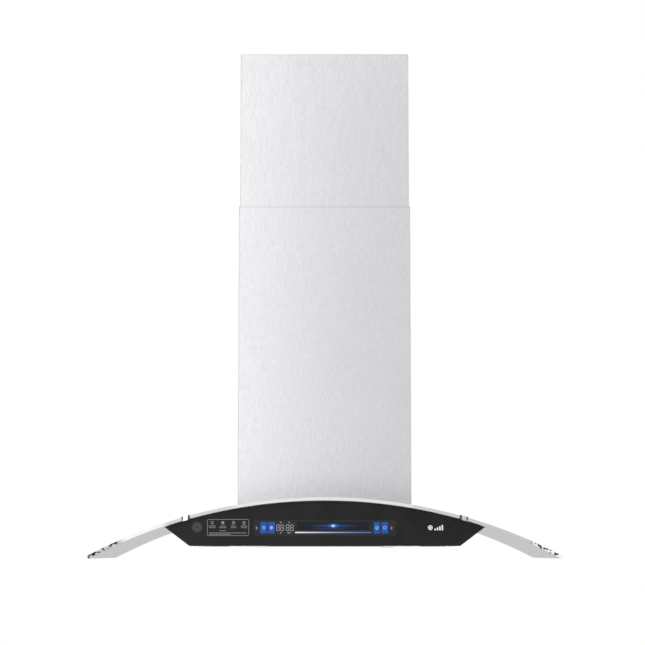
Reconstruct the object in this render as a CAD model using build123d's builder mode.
from build123d import *
import math
import os

# Island range hood, in mm. The origin is the middle of the ceiling plane, Z is up and the
# hood hangs below it. X runs along its width and the control side faces -Y.

SHEET = 1.0  # steel sheet of the body and the blower box

# Curved glass canopy
GLASS_TOP = -888.0  # crown of its upper surface
GLASS_R = 970.75  # radius of its upper surface
GLASS_T = 6.0
GLASS_W = 900.0
GLASS_D = 540.0
GLASS_ARRIS = 0.5
BEND_Z = GLASS_TOP - GLASS_R  # height of the axis it is bent about
CUTOUT = (332.0, 272.0)  # hole for the frame and the blower box
CUTOUT_R = 6.0
BELOW_GLASS = -930.0  # cutting depth that clears every arched sheet at the cut-out

# Telescopic chimney covers
COVER_T = 0.8
LOWER_COVER = (340.0, 280.0)
LOWER_TOP = -309.0
UPPER_COVER = (335.4, 275.4)
UPPER_TOP = -0.5
UPPER_BOTTOM = -590.0
COVER_BEND_R = 1.6
SEAM_GAP = 0.3
LAP_W = 20.0
LAP_BACK = 6.0
COVER_ON_GLASS = 0.4
VENT_SLOT = (60.0, 6.0)
VENT_PITCH = 16.0
VENT_COUNT = 5
VENT_Z = -105.0
VENT_Y = 66.0

# Ceiling plate and the two halves of the frame
PLATE_T = 1.8
PLATE_BEND_R = 1.6
PLATE = (333.6, 273.6)
PLATE_FLANGE = 26.0
PLATE_HOLE = (130.0, 100.0)
PLATE_HOLE_R = 4.0
DUCT_HOLE_R = 88.0
RAIL_T = 1.5
UPPER_RAIL = 20.0
UPPER_RAIL_AT = (165.0, 135.0)
UPPER_RAIL_BOTTOM = -460.0
LOWER_RAIL = 18.0
LOWER_RAIL_AT = (163.2, 133.2)
LOWER_RAIL_TOP = -250.0
BRACE_H = 30.0
UPPER_BRACES = (-45.0, -400.0)
LOWER_BRACES = (-267.0, -600.0)
CLAMP_X = 154.2
CLAMP_R = 3.0
CLAMP_Z = (-420.0, -440.0)
CLAMP_SLOT = (-590.0, -270.0)
CLAMP_SLOT_W = 6.6

# Body under the glass
SKIN_R = 963.25
BODY_TIP = 300.0
BODY_FOOT = 253.0
BODY_BOTTOM = -978.0
BODY_HALF = 254.0
BODY_LEDGE = 10.0
SCREW_R = 1.8
DECK_TOP = -915.0
DECK_T = 2.0
DECK_X = 184.0
DECK_OPENING = (250.0, 200.0)
DECK_SIDE = 22.0
DECK_END = 12.0
RING_T = 3.0
RING_IN = (152.0, 122.0)

# Black glass panels at the front and the rear
PANEL_R = 964.0
PANEL_TIP = 304.3
PANEL_FOOT = 256.7
PANEL_BOTTOM = -980.0
PANEL_FACE = 262.0
PANEL_T = 5.0

# Clips on the glass edge
CLIP_X = 264.0
CLIP_W = 16.0
CLIP_T = 1.0
CLIP_GAP = 0.2
CLIP_OVER = 12.0
CLIP_UNDER = 30.0
CLIP_ROOM = 10.0  # half the gap that the soft strips leave for a clip
STRIP_W = 14.0
STRIP_INSET = 4.0
STRIP_GAP = 0.5

# Control module in the front panel: (x0, x1, z0, z1)
WINDOW = (-135.8, 135.8, -960.8, -930.2)
KEYS = (
    (-122.5, -109.5, -956.4, -934.7),
    (-107.7, -94.7, -956.4, -934.7),
    (93.1, 104.8, -956.4, -934.7),
    (107.5, 120.3, -956.4, -934.7),
)
CLOCK = (-92.5, -57.5, -953.2, -938.0)
LCD = (-52.7, 84.0, -949.8, -934.7)
LIGHT_BAR = (-56.4, 88.6, -956.4, -953.0)
POCKET = 1.6
SENSOR_X = -242.3
SENSOR_Z = -944.5

# Blower box and blower
BOX = (150.0, 120.0)
BOX_TOP = -625.0
FAN_X = -58.5
FAN_Z = -800.0
SCROLL_R = 85.0
SCROLL_STEP = 8.0
SCROLL_W = 57.0
TONGUE_X = 12.0
SIDE_T = 1.2
INLET_R = 63.0
IMPELLER_R = 75.0
IMPELLER_IN = 66.0
IMPELLER_HALF = 55.0
BLADES = 36
BLADE = (8.6, 1.0)
BLADE_TURN = 25.0
RIM_T = 1.5
DISC_OVER = 0.2  # reach of the middle disc past the blades' inner circle
SHAFT_R = 4.0
SHAFT_CLEARANCE = 0.05
MOTOR_R = 42.0
MOTOR_Y = (8.0, 74.0)
BUSH_R = 72.0
COLLAR_R = 75.0
COLLAR_TOP = -565.0
FLAP_Z = -612.0
FLAP_R = 73.2
PIN_R = 2.0
CAP_AT = (110.0, -700.0)
GLAND_AT = (40.0, -660.0)

# Control box beside the deck
CONTROL = (184.0, 236.0, -120.0, 120.0, -962.0, -934.0)
LEAD_BEND = 14.0

# Grease filters
FILTER_X = 122.0
FILTER_W = 232.0
FILTER_L = 336.0
FILTER_H = 12.0
FILTER_OPENING = (236.0, 340.0)
FILTER_BOTTOM = -979.0
LATCH_BAY = 36.0
FRAME_LIP = 8.0
SLAT_W = 22.0
SLAT_PITCH = 32.0
SLAT_T = 0.8
RUN = 0.3  # gap between pieces that move past each other

# Lamps
LAMPS = ((-150.0, -212.0), (150.0, -212.0), (-150.0, 212.0), (150.0, 212.0))
LAMP_R = 29.0


def arc_height(radius, x):
    """Return the height at x of an arc about the bend axis."""
    return BEND_Z + math.sqrt(radius * radius - x * x)


def save(built, name):
    """Label one node and write its STEP file."""
    built.part.label = name
    export_step(built.part, f"parts/{name}.step")


def save_group(name, *makers):
    """Write the solids of several finished parts as one sub-part."""
    solids = [solid for maker in makers for solid in maker.part.solids()]
    export_step(Compound(children=solids, label=name), f"parts/{name}.step")


def block(x0, x1, y0, y1, z0, z1, mode=Mode.ADD):
    """Put a box between two corners into the open part."""
    with Locations(((x0 + x1) / 2, (y0 + y1) / 2, (z0 + z1) / 2)):
        Box(x1 - x0, y1 - y0, z1 - z0, mode=mode)


def rod(axis, start, end, radius, mode=Mode.ADD):
    """Put a cylinder from start to end, along X, Y or Z, into the open part."""
    turn = {"X": (0, 90, 0), "Y": (90, 0, 0), "Z": (0, 0, 0)}[axis]
    middle = tuple((a + b) / 2 for a, b in zip(start, end))
    length = math.dist(start, end)
    with Locations(Location(middle, turn)):
        Cylinder(radius, length, mode=mode)


def hexagon(axis, start, end, across, mode=Mode.ADD):
    """Put a hexagonal prism from start to end into the open part."""
    turn = {"X": (0, 90, 0), "Y": (90, 0, 0), "Z": (0, 0, 0)}[axis]
    middle = tuple((a + b) / 2 for a, b in zip(start, end))
    with BuildSketch() as flat:
        RegularPolygon(across / 2, 6, major_radius=False)
    length = math.dist(start, end)
    prism = extrude(flat.sketch, amount=length / 2, both=True, mode=Mode.PRIVATE)
    with Locations(Location(middle, turn)):
        add(prism, mode=mode)


def hood_outline(radius, tip_x, foot_x, foot_z, mode=Mode.ADD):
    """Draw the arched outline with its two pointed tips in the open sketch."""
    half = math.degrees(math.asin(tip_x / radius))
    tip_z = arc_height(radius, tip_x)
    with BuildLine() as line:
        CenterArc((0, BEND_Z), radius, 90 - half, 2 * half)
        Polyline((-tip_x, tip_z), (-foot_x, foot_z), (foot_x, foot_z), (tip_x, tip_z))
    make_face(line.edges(), mode=mode)


def clip_plane(side):
    """Return the plane on the glass, above its clip: x along the bend, z outward."""
    angle = math.asin(side * CLIP_X / GLASS_R)
    origin = (GLASS_R * math.sin(angle), 0, BEND_Z + GLASS_R * math.cos(angle))
    along = (math.cos(angle), 0, -math.sin(angle))
    outward = (math.sin(angle), 0, math.cos(angle))
    return Plane(origin=origin, x_dir=along, z_dir=outward)


def clip_block(side, half_w, y0, y1, z0, z1, mode=Mode.ADD):
    """Put a block into the open part, measured from the plane of one clip."""
    with Locations(clip_plane(side)):
        with Locations((0, (y0 + y1) / 2, (z0 + z1) / 2)):
            Box(2 * half_w, y1 - y0, z1 - z0, mode=mode)


def clip_notches(y0, y1, z0, z1):
    """Cut room for the four clips out of the open part."""
    for side in (-1, 1):
        for a, b in ((y0, y1), (-y1, -y0)):
            clip_block(side, CLIP_W / 2 + 0.5, a, b, z0, z1, Mode.SUBTRACT)


# ---------------------------------------------------------------- frame and covers


def ceiling_plate():
    """Flanged plate that is bolted to the ceiling."""
    with BuildPart() as plate:
        with BuildSketch():
            RectangleRounded(*PLATE, PLATE_BEND_R)
        extrude(amount=-PLATE_FLANGE)
        with BuildSketch(Plane.XY.offset(-PLATE_T)):
            Rectangle(PLATE[0] - 2 * PLATE_T, PLATE[1] - 2 * PLATE_T)
        extrude(amount=-PLATE_FLANGE, mode=Mode.SUBTRACT)
        with BuildSketch():
            Circle(DUCT_HOLE_R)
            with GridLocations(2 * PLATE_HOLE[0], 2 * PLATE_HOLE[1], 2, 2):
                Circle(PLATE_HOLE_R)
        extrude(amount=-PLATE_T, mode=Mode.SUBTRACT)
        for y in (-70, 70):
            rod("X", (-PLATE[0], y, -13), (PLATE[0], y, -13), 1.9, Mode.SUBTRACT)
    save(plate, "ceiling_plate")


def angle_rail(width, corner, bottom, top):
    """Put four steel angles with their outer corners at (+-x, +-y) into the open part."""
    x, y = corner
    with BuildSketch(Plane.XY.offset(bottom)) as section:
        with Locations((x - width / 2, y - width / 2)):
            Rectangle(width, width)
        with Locations((x - width / 2 - RAIL_T, y - width / 2 - RAIL_T)):
            Rectangle(width, width, mode=Mode.SUBTRACT)
    extrude(section.sketch, amount=top - bottom)
    mirror(about=Plane.YZ)
    mirror(about=Plane.XZ)


def brace_set(width, corner, heights):
    """Put strips between the angles, on all four sides, into the open part."""
    x, y = corner
    for z in heights:
        for side in (-1, 1):
            outer = side * y
            inner = side * (y - RAIL_T)
            ends = sorted((outer, inner))
            block(-(x - width), x - width, ends[0], ends[1], z - BRACE_H / 2, z + BRACE_H / 2)
            ends = sorted((side * x, side * (x - RAIL_T)))
            block(ends[0], ends[1], -(y - width), y - width, z - BRACE_H / 2, z + BRACE_H / 2)


def upper_frame():
    """Four angles that hang from the ceiling plate, tied by welded strips."""
    with BuildPart() as frame:
        angle_rail(UPPER_RAIL, UPPER_RAIL_AT, UPPER_RAIL_BOTTOM, -PLATE_T)
        brace_set(UPPER_RAIL, UPPER_RAIL_AT, UPPER_BRACES)
        for z in CLAMP_Z:
            for x in (-CLAMP_X, CLAMP_X):
                rod("Y", (x, -140, z), (x, 140, z), CLAMP_R, Mode.SUBTRACT)
    save(frame, "upper_frame")


def frame_clamp_bolts():
    """Low-headed bolts and nuts that clamp the two halves of the frame."""
    with BuildPart() as bolts:
        for z in CLAMP_Z:
            for x in (-CLAMP_X, CLAMP_X):
                for side in (-1, 1):
                    face = side * UPPER_RAIL_AT[1]
                    inner = side * (LOWER_RAIL_AT[1] - RAIL_T - RUN)
                    rod("Y", (x, face, z), (x, face + side * 1.5, z), 5.5)
                    rod("Y", (x, face + side, z), (x, side * 123.5, z), CLAMP_R)
                    hexagon("Y", (x, inner, z), (x, inner - side * 5, z), 10)
    save(bolts, "frame_clamp_bolts")


def lower_frame():
    """Four slotted angles that stand on the base ring, tied by welded strips."""
    slot_mid = sum(CLAMP_SLOT) / 2
    slot_len = CLAMP_SLOT[1] - CLAMP_SLOT[0]
    with BuildPart() as frame:
        angle_rail(LOWER_RAIL, LOWER_RAIL_AT, DECK_TOP + RING_T, LOWER_RAIL_TOP)
        brace_set(LOWER_RAIL, LOWER_RAIL_AT, LOWER_BRACES)
        with BuildSketch(Plane.XZ) as slots:
            with Locations((-CLAMP_X, slot_mid), (CLAMP_X, slot_mid)):
                SlotOverall(slot_len, CLAMP_SLOT_W, rotation=90)
        extrude(slots.sketch, amount=150, both=True, mode=Mode.SUBTRACT)
    save(frame, "lower_frame")


def ring_points():
    """Return where the base ring is bolted to the deck."""
    x = (RING_IN[0] + LOWER_RAIL_AT[0]) / 2
    y = (RING_IN[1] + LOWER_RAIL_AT[1]) / 2
    points = [(a * x, b * 60) for a in (-1, 1) for b in (-1, 1)]
    return points + [(a * 60, b * y) for a in (-1, 1) for b in (-1, 1)]


def frame_base_ring():
    """Flat ring between the lower angles and the deck."""
    with BuildPart() as ring:
        with BuildSketch(Plane.XY.offset(DECK_TOP)):
            Rectangle(2 * LOWER_RAIL_AT[0], 2 * LOWER_RAIL_AT[1])
            Rectangle(2 * RING_IN[0], 2 * RING_IN[1], mode=Mode.SUBTRACT)
            with Locations(*ring_points()):
                Circle(CLAMP_R, mode=Mode.SUBTRACT)
        extrude(amount=RING_T)
    save(ring, "frame_base_ring")
    with BuildPart() as screws:
        top = DECK_TOP + RING_T
        under = DECK_TOP - DECK_T
        for x, y in ring_points():
            hexagon("Z", (x, y, top), (x, y, top + 4), 10)
            rod("Z", (x, y, top + 1), (x, y, under - 8), CLAMP_R)
            hexagon("Z", (x, y, under), (x, y, under - 5), 10)
    save(screws, "frame_base_screws")


def cover_shell(size, top, bottom, front):
    """Put one U-shaped half of a chimney cover into the open part."""
    width, depth = size
    inner_r = COVER_BEND_R - COVER_T
    side = -1 if front else 1
    with BuildSketch(Plane.XY.offset(top)) as section:
        RectangleRounded(width, depth, COVER_BEND_R)
        RectangleRounded(width - 2 * COVER_T, depth - 2 * COVER_T, inner_r, mode=Mode.SUBTRACT)
        with Locations((0, -side * (depth / 2 - SEAM_GAP / 2))):
            Rectangle(width + 2, depth, mode=Mode.SUBTRACT)
    extrude(section.sketch, amount=bottom - top)


def cover_laps(width, top, bottom):
    """Put the two inner lap strips of a rear half into the open part."""
    for side in (-1, 1):
        wall = side * (width / 2 - COVER_T)
        xs = sorted((wall, wall - side * COVER_T))
        block(xs[0], xs[1], LAP_BACK - LAP_W, LAP_BACK, bottom, top)


def cut_by_glass(gap):
    """Cut the open part along the glass, leaving a small gap above it."""
    with BuildSketch(Plane.XZ) as disc:
        with Locations((0, BEND_Z)):
            Circle(GLASS_R + gap)
    extrude(disc.sketch, amount=GLASS_D, both=True, mode=Mode.SUBTRACT)


def lower_seam_points():
    """Return where the seam of the lower cover is screwed, as (y, z)."""
    return [(-7, z) for z in (-335, -600, -880)]


def lower_chimney():
    """Lower cover: two halves that stand on the glass, and their seam screws."""
    half = LOWER_COVER[0] / 2
    for name, front in (("lower_chimney_front", True), ("lower_chimney_rear", False)):
        with BuildPart() as shell:
            cover_shell(LOWER_COVER, LOWER_TOP, BELOW_GLASS, front)
            if not front:
                cover_laps(LOWER_COVER[0], LOWER_TOP - 3, BELOW_GLASS)
            cut_by_glass(COVER_ON_GLASS)
            for y, z in lower_seam_points():
                rod("X", (-half - 1, y, z), (half + 1, y, z), 1.6, Mode.SUBTRACT)
        save(shell, name)
    with BuildPart() as screws:
        for y, z in lower_seam_points():
            for side in (-1, 1):
                rod("X", (side * half, y, z), (side * (half + 1.2), y, z), 3.5)
                tip = side * (half - 2 * COVER_T)
                rod("X", (side * (half + 0.5), y, z), (tip, y, z), 1.6)
    save(screws, "lower_chimney_screws")


def upper_chimney():
    """Upper cover: two halves screwed to the ceiling plate."""
    half = UPPER_COVER[0] / 2
    for name, front in (("upper_chimney_front", True), ("upper_chimney_rear", False)):
        side = -1 if front else 1
        with BuildPart() as shell:
            cover_shell(UPPER_COVER, UPPER_TOP, UPPER_BOTTOM, front)
            if not front:
                cover_laps(UPPER_COVER[0], -PLATE_FLANGE - 4, UPPER_BOTTOM)
            with BuildSketch(Plane.YZ) as vents:
                with Locations((side * VENT_Y, VENT_Z)):
                    with GridLocations(1, VENT_PITCH, 1, VENT_COUNT):
                        SlotOverall(*VENT_SLOT)
            extrude(vents.sketch, amount=half + 1, both=True, mode=Mode.SUBTRACT)
            hole = side * 70
            rod("X", (-half - 1, hole, -13), (half + 1, hole, -13), 1.9, Mode.SUBTRACT)
        save(shell, name)
    with BuildPart() as screws:
        for y in (-70, 70):
            for side in (-1, 1):
                rod("X", (side * half, y, -13), (side * (half + 1.8), y, -13), 3.6)
                rod("X", (side * (half + 1), y, -13), (side * (half - 5), y, -13), 1.9)
    save(screws, "upper_chimney_screws")


# ---------------------------------------------------------------- glass and body


def glass_canopy():
    """Bent glass sheet with its cut-out and ground edges."""
    half = math.degrees(math.asin(GLASS_W / 2 / GLASS_R))
    with BuildPart() as glass:
        with BuildSketch(Plane.XZ):
            with BuildLine():
                top = CenterArc((0, BEND_Z), GLASS_R, 90 - half, 2 * half)
                under = CenterArc((0, BEND_Z), GLASS_R - GLASS_T, 90 - half, 2 * half)
                Line(top @ 0, under @ 0)
                Line(top @ 1, under @ 1)
            make_face()
        extrude(amount=GLASS_D / 2, both=True)
        ends = glass.faces().filter_by(Axis.Y)
        chamfer(ends.edges(), GLASS_ARRIS)
        with BuildSketch(Plane.XY.offset(GLASS_TOP + 1)):
            RectangleRounded(*CUTOUT, CUTOUT_R)
        extrude(amount=BELOW_GLASS - GLASS_TOP, mode=Mode.SUBTRACT)
    save(glass, "glass_canopy")


def gasket_strip(x0, x1, y0, y1):
    """Put one soft strip, between two widths and two depths, into the open part."""
    outer = GLASS_R - GLASS_T
    start = math.degrees(math.acos(x1 / outer))
    size = math.degrees(math.acos(x0 / outer)) - start
    with BuildSketch(Plane.XZ.offset(-y1)) as section:
        with BuildLine():
            top = CenterArc((0, BEND_Z), outer, start, size)
            under = CenterArc((0, BEND_Z), SKIN_R, start, size)
            Line(top @ 0, under @ 0)
            Line(top @ 1, under @ 1)
        make_face()
    extrude(section.sketch, amount=y1 - y0)


def glass_gasket():
    """Soft strips between the glass and the body shell, cut to length with small gaps."""
    tip = BODY_TIP - STRIP_INSET
    end = tip - STRIP_W
    edge = BODY_HALF - STRIP_W
    hole_x = CUTOUT[0] / 2 + STRIP_INSET
    hole_y = CUTOUT[1] / 2 + STRIP_INSET
    with BuildPart() as gasket:
        for y0, y1 in ((-BODY_HALF, -edge), (edge, BODY_HALF)):
            gasket_strip(-tip, -CLIP_X - CLIP_ROOM, y0, y1)
            gasket_strip(CLIP_ROOM - CLIP_X, CLIP_X - CLIP_ROOM, y0, y1)
            gasket_strip(CLIP_X + CLIP_ROOM, tip, y0, y1)
        for x0, x1 in ((-tip, -end), (end, tip), (-hole_x - STRIP_W, -hole_x), (hole_x, hole_x + STRIP_W)):
            gasket_strip(x0, x1, STRIP_GAP - edge, edge - STRIP_GAP)
        for y0, y1 in ((-hole_y - STRIP_W, -hole_y), (hole_y, hole_y + STRIP_W)):
            gasket_strip(STRIP_GAP - hole_x, hole_x - STRIP_GAP, y0, y1)
    save(gasket, "glass_gasket")


def glass_edge_clips():
    """Four bright spring clips round the front and rear edges of the glass."""
    edge = GLASS_D / 2
    top = CLIP_GAP + CLIP_T
    under = -GLASS_T - CLIP_GAP - CLIP_T
    with BuildPart() as clips:
        for side in (-1, 1):
            face = -edge - CLIP_GAP - CLIP_T
            half = CLIP_W / 2
            clip_block(side, half, face, -edge + CLIP_OVER, CLIP_GAP, top)
            clip_block(side, half, face, -edge - CLIP_GAP, under, top)
            clip_block(side, half, face, -edge + CLIP_UNDER, under, under + CLIP_T)
        mirror(about=Plane.XZ)
    save(clips, "glass_edge_clips")


def body_shell():
    """Arched body sheet with sloping ends and inward ledges."""
    with BuildPart() as shell:
        with BuildSketch(Plane.XZ):
            hood_outline(SKIN_R, BODY_TIP, BODY_FOOT, BODY_BOTTOM)
            offset(amount=-SHEET, kind=Kind.INTERSECTION, mode=Mode.SUBTRACT)
            with Locations((0, BODY_BOTTOM)):
                Rectangle(2 * (BODY_FOOT - BODY_LEDGE), 6 * SHEET, mode=Mode.SUBTRACT)
        extrude(amount=BODY_HALF, both=True)
        with BuildSketch(Plane.XY.offset(GLASS_TOP)):
            Rectangle(CUTOUT[0] + 4, CUTOUT[1] + 4)
        extrude(amount=BELOW_GLASS - GLASS_TOP, mode=Mode.SUBTRACT)
        for x, y in bottom_screw_points():
            rod("Z", (x, y, BODY_BOTTOM - 1), (x, y, BODY_BOTTOM + 3), SCREW_R, Mode.SUBTRACT)
    save(shell, "body_shell")


def bulkhead_screw_points():
    """Return where the bulkheads are screwed to the deck, as (x, z)."""
    return [(x, -922.5) for x in (-150, -60, 60, 150)]


def bulkheads():
    """End plates of the body, at the front and the rear."""
    with BuildPart() as plates:
        for side in (-1, 1):
            with BuildSketch(Plane.XZ.offset(-side * BODY_HALF)) as outline:
                hood_outline(SKIN_R, BODY_TIP, BODY_FOOT, BODY_BOTTOM)
                with Locations(*bulkhead_screw_points()):
                    Circle(SCREW_R, mode=Mode.SUBTRACT)
                if side < 0:
                    with Locations((0, (WINDOW[2] + WINDOW[3]) / 2)):
                        Rectangle(282, 38, mode=Mode.SUBTRACT)
                    with Locations((SENSOR_X, SENSOR_Z)):
                        Circle(8.6, mode=Mode.SUBTRACT)
            extrude(outline.sketch, amount=-side * SHEET)
    save(plates, "bulkheads")


def body_screws():
    """Screws that join the body's sheets, all of one size."""
    with BuildPart() as screws:
        for x, z in bulkhead_screw_points():
            for side in (-1, 1):
                face = side * (BODY_HALF + SHEET)
                rod("Y", (x, face, z), (x, face + side * 1.6, z), 3.4)
                rod("Y", (x, face + side, z), (x, face - side * 8, z), SCREW_R)
        for x, y in bottom_screw_points():
            face = BODY_BOTTOM - SHEET
            rod("Z", (x, y, face), (x, y, face - 1.6), 3.4)
            rod("Z", (x, y, face - 1), (x, y, face + 8), SCREW_R)
    save(screws, "body_screws")


def box_screw_points():
    """Return where the blower box is screwed to the deck."""
    points = [(a * 144, b * 60) for a in (-1, 1) for b in (-1, 1)]
    return points + [(a * 90, b * 114) for a in (-1, 1) for b in (-1, 1)]


def mounting_deck():
    """Flanged deck that joins the body, the frame and the blower box."""
    under = DECK_TOP - DECK_T
    with BuildPart() as deck:
        with BuildSketch(Plane.XY.offset(DECK_TOP)):
            Rectangle(2 * DECK_X, 2 * BODY_HALF)
        extrude(amount=-DECK_SIDE)
        with BuildSketch(Plane.XY.offset(under)):
            Rectangle(2 * (DECK_X - DECK_T), 2 * (BODY_HALF - DECK_T))
        extrude(amount=-DECK_SIDE, mode=Mode.SUBTRACT)
        for side in (-1, 1):
            ys = sorted((side * (BODY_HALF - DECK_T - 1), side * (BODY_HALF + 1)))
            low = DECK_TOP - DECK_SIDE - 1
            block(-DECK_X, DECK_X, ys[0], ys[1], low, DECK_TOP - DECK_END, Mode.SUBTRACT)
        with BuildSketch(Plane.XY.offset(DECK_TOP)):
            RectangleRounded(*DECK_OPENING, 8)
            with Locations(*ring_points()):
                Circle(CLAMP_R)
            with Locations(*box_screw_points()):
                Circle(1.9)
        extrude(amount=-DECK_T, mode=Mode.SUBTRACT)
        for x, z in bulkhead_screw_points():
            rod("Y", (x, -BODY_HALF - 1, z), (x, BODY_HALF + 1, z), SCREW_R, Mode.SUBTRACT)
    save(deck, "mounting_deck")


def bottom_screw_points():
    """Return where the bottom panel is screwed to the ledges of the body."""
    return [(a * 247.5, y) for a in (-1, 1) for y in (-220, -75, 75, 220)]


def bottom_panel():
    """Underside sheet with the filter openings and the lamp holes."""
    with BuildPart() as panel:
        with BuildSketch(Plane.XY.offset(BODY_BOTTOM)):
            Rectangle(2 * (BODY_FOOT - 1), 2 * (BODY_HALF + SHEET))
            with Locations((-FILTER_X, 0), (FILTER_X, 0)):
                Rectangle(*FILTER_OPENING, mode=Mode.SUBTRACT)
            with Locations(*LAMPS):
                Circle(LAMP_R + 0.2, mode=Mode.SUBTRACT)
            with Locations(*bottom_screw_points()):
                Circle(SCREW_R, mode=Mode.SUBTRACT)
        extrude(amount=-SHEET)
    save(panel, "bottom_panel")


def panels():
    """Arched black glass panels at the front and the rear, and their bonding strips."""
    opening = (WINDOW[1] - WINDOW[0] + 0.5, WINDOW[3] - WINDOW[2] + 0.5)
    for name, side in (("front_panel", -1), ("rear_panel", 1)):
        with BuildPart() as panel:
            with BuildSketch(Plane.XZ.offset(-side * (PANEL_FACE - PANEL_T))):
                hood_outline(PANEL_R, PANEL_TIP, PANEL_FOOT, PANEL_BOTTOM)
                if side < 0:
                    with Locations((0, (WINDOW[2] + WINDOW[3]) / 2)):
                        RectangleRounded(*opening, 2.75, mode=Mode.SUBTRACT)
                    with Locations((SENSOR_X, SENSOR_Z)):
                        Circle(9.4, mode=Mode.SUBTRACT)
            extrude(amount=-side * PANEL_T)
            clip_notches(-PANEL_FACE - 1, -PANEL_FACE + PANEL_T + 1, -7.6, -5)
        save(panel, name)
    with BuildPart() as strips:
        y0 = BODY_HALF + SHEET
        y1 = PANEL_FACE - PANEL_T
        block(-240, 240, -y1, -y0, -976, -968)
        block(-225, -160, -y1, -y0, -930, -922)
        block(160, 225, -y1, -y0, -930, -922)
        mirror(about=Plane.XZ)
    save(strips, "bonding_strips")


# ---------------------------------------------------------------- controls


def pocket_items():
    """Return the names and rectangles of what is let into the window."""
    return [("displays", (CLOCK, LCD, LIGHT_BAR)), ("touch_keys", KEYS)]


def control_window():
    """Module plate set into the front panel, and the pieces let into it."""
    face = -PANEL_FACE + 0.2
    back = -PANEL_FACE + PANEL_T
    middle = ((WINDOW[0] + WINDOW[1]) / 2, (WINDOW[2] + WINDOW[3]) / 2)
    size = (WINDOW[1] - WINDOW[0], WINDOW[3] - WINDOW[2])
    with BuildPart() as window:
        with BuildSketch(Plane.XZ.offset(-face)):
            with Locations(middle):
                RectangleRounded(*size, 2.5)
        extrude(amount=face - back)
        block(-138.5, 138.5, back, back + 1.5, WINDOW[2] - 2, WINDOW[3] + 2)
        for name, rects in pocket_items():
            for x0, x1, z0, z1 in rects:
                block(x0, x1, face - 1, face + POCKET, z0, z1, Mode.SUBTRACT)
    save(window, "control_window")
    for name, rects in pocket_items():
        with BuildPart() as item:
            for x0, x1, z0, z1 in rects:
                block(x0 + 0.1, x1 - 0.1, face - 0.1, face + POCKET, z0 + 0.1, z1 - 0.1)
        save(item, name)


def control_housing():
    """Tray behind the window, with the display board in it."""
    z0 = WINDOW[2] - 2.2
    z1 = WINDOW[3] + 2.2
    front = -PANEL_FACE + PANEL_T + 1.5
    with BuildPart() as tray:
        block(-139, 139, front, -239, z0, z1)
        block(-137.5, 137.5, front - 1, -240.5, z0 + 1.5, z1 - 1.5, Mode.SUBTRACT)
        for x in (-110, 0, 110):
            block(x - 4, x + 4, -246.4, -240.5, -950, -941)
    save(tray, "control_housing")
    with BuildPart() as board:
        block(-135, 135, -248, -246.4, z0 + 3, z1 - 3)
        block(-50, 82, -252, -248, -952, -933)
        block(-92, -58, -251, -248, -954, -938)
        for x0, x1, a, b in KEYS:
            block(x0 + 3, x1 - 3, -250, -248, -950, -941)
    save(board, "display_board")


def sensor():
    """Round sensor window in the front panel."""
    face = -PANEL_FACE
    with BuildPart() as bezel:
        centre = (SENSOR_X, face - 0.6, SENSOR_Z)
        rod("Y", centre, (SENSOR_X, face, SENSOR_Z), 9.8)
        rod("Y", (SENSOR_X, face - 0.1, SENSOR_Z), (SENSOR_X, -251, SENSOR_Z), 8.3)
        rod("Y", (SENSOR_X, face - 2, SENSOR_Z), (SENSOR_X, -252.5, SENSOR_Z), 6.8, Mode.SUBTRACT)
    save(bezel, "sensor_bezel")
    with BuildPart() as lens:
        rod("Y", (SENSOR_X, face - 0.2, SENSOR_Z), (SENSOR_X, -252.5, SENSOR_Z), 6.8)
        fillet(lens.faces().sort_by(Axis.Y)[0].edges(), 1.0)
    save(lens, "sensor_lens")


def control_box():
    """Electronics box beside the deck, its lid and its circuit board."""
    x0, x1, y0, y1, z0, z1 = CONTROL
    wall = 1.5
    with BuildPart() as box:
        block(x0, x1, y0, y1, z0, z1)
        block(x0 + wall, x1 - wall, y0 + wall, y1 - wall, z0 - 1, z1 - wall, Mode.SUBTRACT)
        for y in (-105, 0, 105):
            rod("Z", (x0 + 7, y, z1 - wall), (x0 + 7, y, z1 - 9), 2.5)
            rod("Z", (x1 - 7, y, z1 - wall), (x1 - 7, y, z1 - 9), 2.5)
    save(box, "control_box")
    with BuildPart() as lid:
        block(x0, x1, y0, y1, z0 - wall, z0)
    save(lid, "control_box_lid")
    with BuildPart() as board:
        top = z1 - 9
        block(x0 + 3, x1 - 3, y0 + 4, y1 - 4, top - 1.6, top)
        block(x0 + 8, x0 + 28, -90, -60, top - 15, top - 1.6)
        block(x0 + 8, x0 + 24, -50, -34, top - 13, top - 1.6)
        block(x0 + 8, x0 + 24, -28, -12, top - 13, top - 1.6)
        block(x0 + 30, x1 - 6, 20, 80, top - 10, top - 1.6)
    save(board, "control_board")


def lead(points, radius):
    """Sweep one round lead with tangent bends, on its own."""
    with BuildPart() as cable:
        with BuildLine() as path:
            FilletPolyline(*points, radius=LEAD_BEND)
        with BuildSketch(Plane(origin=path.line @ 0, z_dir=path.line % 0)):
            Circle(radius)
        sweep(path=path.line)
    return cable.part


def internal_leads():
    """Motor lead and display lead, both run to the control box."""
    x = FAN_X + 24
    box = CONTROL[0]
    motor_points = (
        (x, MOTOR_Y[1], FAN_Z), (x, 92, FAN_Z), (100, 92, FAN_Z), (100, 92, -950), (box, 92, -950),
    )
    display_points = ((120, -239, -945), (120, -192, -945), (210, -192, -945), (210, CONTROL[2], -945))
    with BuildPart() as cables:
        add(lead(motor_points, 3.0))
        add(lead(display_points, 2.4))
    save(cables, "internal_leads")


# ---------------------------------------------------------------- blower


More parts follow.
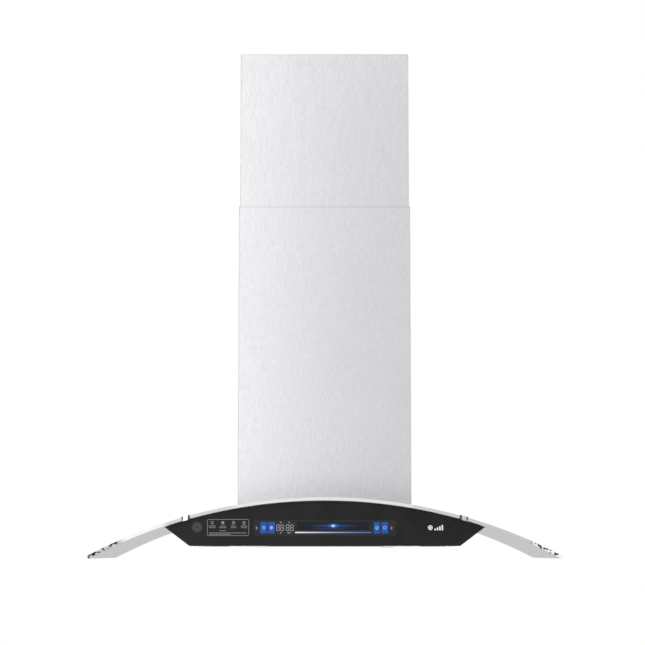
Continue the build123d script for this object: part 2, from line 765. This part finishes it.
def scroll_outline(grow, mode=Mode.ADD):
    """Draw the volute's air space in the open sketch, grown by the sheet where asked."""
    step = SCROLL_STEP
    r1 = SCROLL_R + grow
    r2 = r1 + step
    r3 = r2 + step
    tongue = TONGUE_X - grow
    c1 = (FAN_X - step / 2, FAN_Z - step / 2)
    c2 = (FAN_X + step / 2, FAN_Z - step / 2)
    c3 = (FAN_X + step / 2, FAN_Z + step / 2)
    rise = math.degrees(math.acos((tongue + step / 2) / r1))
    start = (FAN_X + tongue, c1[1] + r1 * math.sin(math.radians(rise)))
    top = BOX_TOP - SHEET
    with BuildLine() as line:
        CenterArc(c1, r1, rise, 180 - rise)
        CenterArc(c2, r2, 180, 90)
        CenterArc(c3, r3, 270, 90)
        Polyline((c3[0] + r3, c3[1]), (c3[0] + r3, top), (start[0], top), start)
    make_face(line.edges(), mode=mode)


def bracket_points(radius):
    """Return the ends of the three bracket arms, as (x, z)."""
    angles = (math.radians(a) for a in (90, 210, 330))
    return [(FAN_X + radius * math.cos(a), FAN_Z + radius * math.sin(a)) for a in angles]


def volute():
    """Scroll wall and its two side plates with round inlets."""
    with BuildPart() as scroll:
        with BuildSketch(Plane.XZ):
            scroll_outline(SHEET)
            scroll_outline(0, mode=Mode.SUBTRACT)
        extrude(amount=SCROLL_W, both=True)
    save(scroll, "volute_scroll")
    with BuildPart() as plates:
        for side in (-1, 1):
            face = Plane.XZ.offset(-side * SCROLL_W)
            with BuildSketch(face) as flat:
                scroll_outline(SHEET)
                with Locations((FAN_X, FAN_Z)):
                    Circle(INLET_R, mode=Mode.SUBTRACT)
                if side > 0:
                    with Locations(*bracket_points(BUSH_R)):
                        Circle(2.0, mode=Mode.SUBTRACT)
            extrude(flat.sketch, amount=-side * SIDE_T)
            with BuildSketch(face) as lip:
                with Locations((FAN_X, FAN_Z)):
                    Circle(INLET_R + 1)
                    Circle(INLET_R, mode=Mode.SUBTRACT)
            extrude(lip.sketch, amount=-side * (SIDE_T + 3))
    save(plates, "volute_side_plates")


def motor():
    """Motor, its bracket and the rubber bushes."""
    y0, y1 = MOTOR_Y
    with BuildPart() as body:
        rod("Y", (FAN_X, y0, FAN_Z), (FAN_X, y1, FAN_Z), MOTOR_R)
        fillet(body.edges().filter_by(GeomType.CIRCLE), 3)
        with BuildSketch(Plane.XZ.offset(-y1 + 2)) as vents:
            with Locations((FAN_X, FAN_Z)):
                with PolarLocations(30, 8, start_angle=22.5):
                    SlotOverall(12, 3)
        extrude(vents.sketch, amount=-4, mode=Mode.SUBTRACT)
        bore = SHAFT_R + SHAFT_CLEARANCE
        rod("Y", (FAN_X, y0 - 1, FAN_Z), (FAN_X, y1 - 4, FAN_Z), bore, Mode.SUBTRACT)
    save(body, "blower_motor")
    plate = SCROLL_W + SIDE_T
    with BuildPart() as bracket:
        for x, z in bracket_points(BUSH_R):
            angle = math.degrees(math.atan2(z - FAN_Z, x - FAN_X))
            with BuildSketch(Plane.XZ.offset(-plate - 4)) as arm:
                with Locations((FAN_X, FAN_Z)):
                    with PolarLocations((MOTOR_R + BUSH_R) / 2, 1, start_angle=angle):
                        SlotOverall(BUSH_R - MOTOR_R + 16, 14)
                with Locations((x, z)):
                    Circle(2.0, mode=Mode.SUBTRACT)
            extrude(arm.sketch, amount=-2)
        rod("Y", (FAN_X, plate + 4, FAN_Z), (FAN_X, plate + 13, FAN_Z), MOTOR_R + 3)
        rod("Y", (FAN_X, 0, FAN_Z), (FAN_X, 100, FAN_Z), MOTOR_R, Mode.SUBTRACT)
    save(bracket, "motor_bracket")
    with BuildPart() as bushes:
        for x, z in bracket_points(BUSH_R):
            rod("Y", (x, plate, z), (x, plate + 4, z), 6)
            rod("Y", (x, plate - 1, z), (x, plate + 5, z), 2, Mode.SUBTRACT)
    save(bushes, "motor_bushes")


def impeller():
    """Double-inlet impeller of single blades between two rims, its shaft and its nut."""
    blade_end = IMPELLER_HALF - RIM_T
    with BuildPart() as blades:
        with BuildSketch(Plane.XZ) as section:
            with Locations((FAN_X, FAN_Z)):
                with PolarLocations((IMPELLER_R + IMPELLER_IN) / 2, BLADES):
                    Rectangle(*BLADE, rotation=BLADE_TURN)
        extrude(section.sketch, amount=blade_end, both=True)
    with BuildPart() as rims:
        for side in (-1, 1):
            with BuildSketch(Plane.XZ.offset(-side * IMPELLER_HALF)) as ring:
                with Locations((FAN_X, FAN_Z)):
                    Circle(IMPELLER_R)
                    Circle(IMPELLER_IN, mode=Mode.SUBTRACT)
            extrude(ring.sketch, amount=side * RIM_T)
    with BuildPart() as disc:
        rod("Y", (FAN_X, -RIM_T, FAN_Z), (FAN_X, RIM_T, FAN_Z), IMPELLER_IN + DISC_OVER)
        rod("Y", (FAN_X, -10, FAN_Z), (FAN_X, 6, FAN_Z), 12)
        rod("Y", (FAN_X, -20, FAN_Z), (FAN_X, 20, FAN_Z), SHAFT_R, Mode.SUBTRACT)
    save_group("impeller", blades, disc)
    save(rims, "impeller_rims")
    with BuildPart() as shaft:
        rod("Y", (FAN_X, -19, FAN_Z), (FAN_X, MOTOR_Y[1] - 6, FAN_Z), SHAFT_R)
        chamfer(shaft.edges().filter_by(GeomType.CIRCLE), 0.6)
    save(shaft, "motor_shaft")
    with BuildPart() as nut:
        hexagon("Y", (FAN_X, -16, FAN_Z), (FAN_X, -10, FAN_Z), 13)
        rod("Y", (FAN_X, -20, FAN_Z), (FAN_X, 0, FAN_Z), SHAFT_R, Mode.SUBTRACT)
    save(nut, "impeller_nut")


def collar_screw_points():
    """Return where the collar is screwed to the box."""
    return [(a * 78, b * 78) for a in (-1, 1) for b in (-1, 1)]


def blower_box():
    """Sheet box over the deck that holds the blower."""
    x, y = BOX
    with BuildPart() as box:
        block(-x, x, -y, y, DECK_TOP, BOX_TOP)
        inner = (x - SHEET, y - SHEET)
        block(-inner[0], inner[0], -inner[1], inner[1], DECK_TOP + SHEET, BOX_TOP - SHEET, Mode.SUBTRACT)
        block(11 - x, x - 11, 11 - y, y - 11, DECK_TOP - 1, DECK_TOP + 2, Mode.SUBTRACT)
        outlet = (FAN_X + TONGUE_X, FAN_X + 1.5 * SCROLL_STEP + SCROLL_R + SCROLL_STEP)
        block(outlet[0], outlet[1], -SCROLL_W, SCROLL_W, BOX_TOP - 2, BOX_TOP + 1, Mode.SUBTRACT)
        for a, b in collar_screw_points():
            rod("Z", (a, b, BOX_TOP - 3), (a, b, BOX_TOP + 1), 1.9, Mode.SUBTRACT)
        for a, b in box_screw_points():
            rod("Z", (a, b, DECK_TOP - 1), (a, b, DECK_TOP + 3), 1.9, Mode.SUBTRACT)
        gland = GLAND_AT
        rod("X", (x - 3, *gland), (x + 1, *gland), 8, Mode.SUBTRACT)
        rod("Y", (CAP_AT[0], -y - 1, CAP_AT[1]), (CAP_AT[0], -y + 3, CAP_AT[1]), 4, Mode.SUBTRACT)
    save(box, "blower_box")
    with BuildPart() as screws:
        under = DECK_TOP - DECK_T
        for a, b in box_screw_points():
            rod("Z", (a, b, under - 1.8), (a, b, under), 3.6)
            rod("Z", (a, b, under - 1), (a, b, DECK_TOP + 5), 1.9)
        for a, b in collar_screw_points():
            rod("Z", (a, b, BOX_TOP + 1), (a, b, BOX_TOP + 2.8), 3.6)
            rod("Z", (a, b, BOX_TOP - 5), (a, b, BOX_TOP + 2), 1.9)
        plate = SCROLL_W + SIDE_T
        for x, z in bracket_points(BUSH_R):
            rod("Y", (x, plate + 6, z), (x, plate + 8.5, z), 3.6)
            rod("Y", (x, plate - 1.6, z), (x, plate + 7, z), 2)
    save(screws, "blower_screws")


def outlet_collar():
    """Round outlet with its stop ring and the pin of the flaps."""
    bore = COLLAR_R - SHEET
    stop = FLAP_Z - 0.5 - RUN
    with BuildPart() as collar:
        with BuildSketch(Plane.XY.offset(BOX_TOP)):
            RectangleRounded(172, 172, 4)
            Circle(bore, mode=Mode.SUBTRACT)
            with Locations(*collar_screw_points()):
                Circle(1.9, mode=Mode.SUBTRACT)
        extrude(amount=SHEET)
        with BuildSketch(Plane.XY.offset(BOX_TOP)):
            Circle(COLLAR_R)
            Circle(bore, mode=Mode.SUBTRACT)
        extrude(amount=COLLAR_TOP - BOX_TOP)
        with BuildSketch(Plane.XY.offset(stop)):
            Circle(bore + 0.5)
            Circle(bore - 3.5, mode=Mode.SUBTRACT)
        extrude(amount=-2)
        rod("Y", (0, -COLLAR_R - 1, FLAP_Z), (0, COLLAR_R + 1, FLAP_Z), PIN_R, Mode.SUBTRACT)
    save(collar, "outlet_collar")
    with BuildPart() as pin:
        rod("Y", (0, -COLLAR_R + 0.4, FLAP_Z), (0, COLLAR_R - 0.4, FLAP_Z), PIN_R)
    save(pin, "damper_pin")


def damper_flaps():
    """Two half-round back-draft flaps that turn on one pin."""
    spans = {-1: ((-60, -32), (2, 30)), 1: ((-30, -2), (32, 60))}
    for side, name in ((-1, "damper_flap_left"), (1, "damper_flap_right")):
        with BuildPart() as flap:
            with BuildSketch(Plane.XY.offset(FLAP_Z - 0.5)):
                Circle(FLAP_R)
                with Locations((-side * (FLAP_R - 4), 0)):
                    Rectangle(2 * FLAP_R, 3 * FLAP_R, mode=Mode.SUBTRACT)
            extrude(amount=1)
            for y0, y1 in spans[side]:
                xs = sorted((0, side * 5))
                block(xs[0], xs[1], y0, y1, FLAP_Z - 0.5, FLAP_Z + 0.5)
                rod("Y", (0, y0, FLAP_Z), (0, y1, FLAP_Z), 3.2)
            rod("Y", (0, -80, FLAP_Z), (0, 80, FLAP_Z), PIN_R + 0.08, Mode.SUBTRACT)
        save(flap, name)


def electrical_fittings():
    """Run capacitor and cable gland of the blower box."""
    x, z = CAP_AT
    wall = -BOX[1] + SHEET
    with BuildPart() as capacitor:
        rod("Y", (x, wall, z), (x, wall + 60, z), 17.5)
        fillet(capacitor.edges().filter_by(GeomType.CIRCLE), 1.5)
        rod("Y", (x, wall + 1, z), (x, wall - 8, z), 4)
        hexagon("Y", (x, -BOX[1], z), (x, -BOX[1] - 5, z), 13)
        for dx in (-6, 6):
            block(x + dx - 0.4, x + dx + 0.4, wall + 59, wall + 68, z - 3, z + 3)
    save(capacitor, "run_capacitor")
    y, z = GLAND_AT
    face = BOX[0]
    with BuildPart() as gland:
        rod("X", (face - 7, y, z), (face + 7, y, z), 8)
        hexagon("X", (face, y, z), (face + 6, y, z), 20)
        hexagon("X", (face - SHEET, y, z), (face - SHEET - 5, y, z), 20)
        rod("X", (face + 6, y, z), (face + 13, y, z), 8.6)
        fillet(gland.faces().sort_by(Axis.X)[-1].edges(), 3)
        rod("X", (face - 10, y, z), (face + 14, y, z), 4.2, Mode.SUBTRACT)
    save(gland, "cable_gland")


# ---------------------------------------------------------------- filters and lamps


def portion(whole, x0, x1, y0, y1, z0, z1):
    """Return the solids of a part that lie inside a box."""
    with BuildPart() as piece:
        add(whole)
        block(x0, x1, y0, y1, z0, z1, Mode.INTERSECT)
    return piece.part.solids()


def filter_frame(side, name):
    """Frame of one filter: three rails and a latch bay, riveted at their ends."""
    x0 = side * FILTER_X - FILTER_W / 2
    x1 = side * FILTER_X + FILTER_W / 2
    mid = side * FILTER_X
    y = FILTER_L / 2
    z0 = FILTER_BOTTOM
    z1 = z0 + FILTER_H
    wall = 1.0
    bay = -y + LATCH_BAY
    with BuildPart() as frame:
        block(x0, x1, -y, y, z0, z1)
        block(x0 + wall, x1 - wall, -y + wall, bay, z0 + wall, z1 + 1, Mode.SUBTRACT)
        block(x0 + wall, x1 - wall, bay + wall, y - wall, z0 + wall, z1 + 1, Mode.SUBTRACT)
        block(x0 + FRAME_LIP, x1 - FRAME_LIP, bay + 2, y - FRAME_LIP, z0 - 1, z0 + 2, Mode.SUBTRACT)
        block(mid - 26, mid + 26, -163, -147, z0 - 1, z0 + 2, Mode.SUBTRACT)
        block(mid - 14.3, mid + 14.3, -y - 1, -y + 2, z0 + wall, z0 + wall + 2.1, Mode.SUBTRACT)
        for dx in (-75, 75):
            block(mid + dx - 15, mid + dx + 15, y - 1, y + 10, z0 + wall + RUN, z0 + wall + RUN + 1)
    with BuildPart() as cover:
        block(mid - 32, mid + 32, -y + 1.5, bay - 0.5, z0 + wall, z1 - 2)
        block(mid - 31.2, mid + 31.2, -y, bay, z0, z1 - 2.8, Mode.SUBTRACT)
    lip = FRAME_LIP
    rails = [
        *portion(frame.part, x0, x0 + lip, bay + 2, y, z0, z1),
        *portion(frame.part, x1 - lip, x1, bay + 2, y, z0, z1),
        *portion(frame.part, x0 + lip, x1 - lip, y - lip, y + 11, z0, z1),
        *portion(frame.part, x0, x1, -y, bay + 2, z0, z1),
    ]
    both = Compound(children=[*rails, *cover.part.solids()], label=f"{name}_frame")
    export_step(both, f"parts/{name}_frame.step")


def filter_baffles(side, name):
    """Two layers of folded slats, each covering the gaps of the other."""
    mid = side * FILTER_X
    y0 = -FILTER_L / 2 + LATCH_BAY + 1
    y1 = FILTER_L / 2 - 1
    floor = FILTER_BOTTOM + 1
    half = SLAT_W / 2
    with BuildPart() as slats:
        for i in range(-3, 4):
            x = mid + i * SLAT_PITCH
            block(x - half, x + half, y0, y1, floor, floor + 5)
            block(x - half + SLAT_T, x + half - SLAT_T, y0, y1, floor + SLAT_T, floor + 6, Mode.SUBTRACT)
        top = FILTER_BOTTOM + FILTER_H - 1
    with BuildPart() as upper:
        for i in range(-3, 3):
            x = mid + (i + 0.5) * SLAT_PITCH
            block(x - half, x + half, y0, y1, top - 5, top)
            block(x - half + SLAT_T, x + half - SLAT_T, y0, y1, top - 6, top - SLAT_T, Mode.SUBTRACT)
    save_group(f"{name}_baffles", slats, upper)


def filter_latch(side, name):
    """Sliding tongue of one filter, with its finger lip."""
    mid = side * FILTER_X
    z = FILTER_BOTTOM + 1 + RUN
    with BuildPart() as latch:
        block(mid - 14, mid + 14, -174, -141, z, z + 1.5)
        block(mid - 12, mid + 12, -157.5, -155.5, FILTER_BOTTOM - 4, z + 0.5)
        fillet(latch.edges().filter_by(Axis.X).group_by(Axis.Z)[0], 0.9)
    save(latch, name)


def lamps():
    """Four lamps: bezel, lens, and board with its heat sink."""
    face = BODY_BOTTOM - SHEET
    with BuildPart() as bezels:
        for x, y in LAMPS:
            rod("Z", (x, y, face - 2), (x, y, face), LAMP_R + 4)
            rod("Z", (x, y, face - 1), (x, y, face + 14), LAMP_R)
        for x, y in LAMPS:
            rod("Z", (x, y, face - 3), (x, y, face + 15), LAMP_R - 2, Mode.SUBTRACT)
        fillet(bezels.edges().filter_by(GeomType.CIRCLE).group_by(Axis.Z)[0], 0.8)
    save(bezels, "lamp_bezels")
    with BuildPart() as lenses:
        for x, y in LAMPS:
            rod("Z", (x, y, face - 1.5), (x, y, face + 1), LAMP_R - 2)
    save(lenses, "lamp_lenses")
    with BuildPart() as modules:
        for x, y in LAMPS:
            rod("Z", (x, y, face + 6), (x, y, face + 8), 9)
            rod("Z", (x, y, face + 7.4), (x, y, face + 13), LAMP_R - 2)
            rod("Z", (x, y, face + 12), (x, y, face + 24), 9)
            rod("Z", (x, y, face + 16), (x, y, face + 18), LAMP_R - 4)
            rod("Z", (x, y, face + 21), (x, y, face + 23), LAMP_R - 4)
    save(modules, "lamp_modules")


def main():
    """Build every node in turn."""
    os.makedirs("parts", exist_ok=True)
    ceiling_plate()
    upper_frame()
    frame_clamp_bolts()
    lower_frame()
    frame_base_ring()
    upper_chimney()
    lower_chimney()
    glass_canopy()
    glass_gasket()
    glass_edge_clips()
    body_shell()
    bulkheads()
    body_screws()
    mounting_deck()
    bottom_panel()
    panels()
    control_window()
    control_housing()
    sensor()
    control_box()
    internal_leads()
    volute()
    motor()
    impeller()
    blower_box()
    outlet_collar()
    damper_flaps()
    electrical_fittings()
    for side, name in ((-1, "filter_left"), (1, "filter_right")):
        filter_frame(side, name)
        filter_baffles(side, name)
    filter_latch(-1, "latch_left")
    filter_latch(1, "latch_right")
    lamps()


main()
